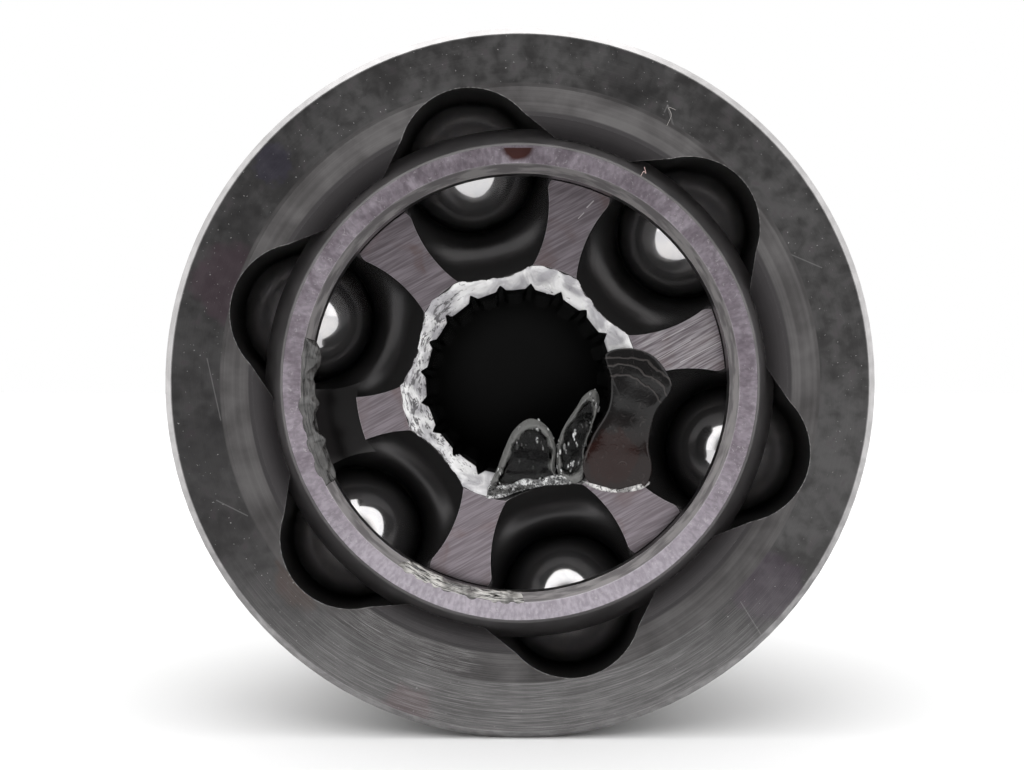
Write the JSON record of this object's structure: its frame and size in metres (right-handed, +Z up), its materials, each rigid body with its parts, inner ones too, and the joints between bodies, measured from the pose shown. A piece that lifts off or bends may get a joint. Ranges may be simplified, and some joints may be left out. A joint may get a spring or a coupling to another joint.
{
  "type": "constant velocity joint",
  "caption": "Outer drive-shaft joint: a bell with a splined stub holds a windowed cage, steel balls and a grooved inner race that swing together and pass on the turning.",
  "frame": {"origin": "joint centre, where the axes of the drive shaft and the stub always cross; it is the middle of the spline bore's mount", "axes": "+Y along the joint axis from the open mouth to the stub's free end, +Z up with the joint lying on its side, +X to the right as seen looking into the mouth"},
  "size_m": [0.088, 0.1261, 0.088],
  "materials": {
    "bell_steel": "turned, dull and oily, dark grey with a faint mauve tint",
    "cage_steel": "ground, mauve grey",
    "race_steel": "ground front faces, dark oily ball tracks",
    "ball_steel": "mirror polished"
  },
  "bodies": {
    "outer_race": {"outer_race": "bell_steel"},
    "cage": {"cage": "cage_steel"},
    "inner_race": {"inner_race": "race_steel"},
    "ball_1": {"ball_1": "ball_steel"},
    "ball_2": {"ball_2": "ball_steel"},
    "ball_3": {"ball_3": "ball_steel"},
    "ball_4": {"ball_4": "ball_steel"},
    "ball_5": {"ball_5": "ball_steel"},
    "ball_6": {"ball_6": "ball_steel"}
  },
  "joints": [
    {"name": "articulation", "type": "hinge", "parent": "outer_race", "child": "inner_race", "pos_m": [0, 0, 0], "axis": [0, 0, 1], "range_deg": [-45, 45]},
    {"name": "cage_swing", "type": "hinge", "parent": "outer_race", "child": "cage", "pos_m": [0, 0, 0], "axis": [0, 0, 1], "range_deg": [-22.6, 22.6]},
    {"name": "ball_1_travel", "type": "hinge", "parent": "outer_race", "child": "ball_1", "pos_m": [0, -0.0042, 0], "axis": [-0.6769, 0, 0.7361], "range_deg": [-16.83, 16.83]},
    {"name": "ball_2_travel", "type": "hinge", "parent": "outer_race", "child": "ball_2", "pos_m": [0, -0.0042, 0], "axis": [-0.9759, 0, -0.2181], "range_deg": [-5.06, 5.06]},
    {"name": "ball_3_travel", "type": "hinge", "parent": "outer_race", "child": "ball_3", "pos_m": [0, -0.0042, 0], "axis": [-0.299, 0, -0.9542], "range_deg": [-21.79, 21.79]},
    {"name": "ball_4_travel", "type": "hinge", "parent": "outer_race", "child": "ball_4", "pos_m": [0, -0.0042, 0], "axis": [0.6769, 0, -0.7361], "range_deg": [-16.83, 16.83]},
    {"name": "ball_5_travel", "type": "hinge", "parent": "outer_race", "child": "ball_5", "pos_m": [0, -0.0042, 0], "axis": [0.9759, 0, 0.2181], "range_deg": [-5.06, 5.06]},
    {"name": "ball_6_travel", "type": "hinge", "parent": "outer_race", "child": "ball_6", "pos_m": [0, -0.0042, 0], "axis": [0.299, 0, 0.9542], "range_deg": [-21.79, 21.79]}
  ],
  "couplings": [
    {"joint": "cage_swing", "follows": "articulation", "ratio": 0.5},
    {"joint": "ball_1_travel", "follows": "articulation", "ratio": 0.37173},
    {"joint": "ball_2_travel", "follows": "articulation", "ratio": -0.11016},
    {"joint": "ball_3_travel", "follows": "articulation", "ratio": -0.48189},
    {"joint": "ball_4_travel", "follows": "articulation", "ratio": -0.37173},
    {"joint": "ball_5_travel", "follows": "articulation", "ratio": 0.11016},
    {"joint": "ball_6_travel", "follows": "articulation", "ratio": 0.48189}
  ]
}
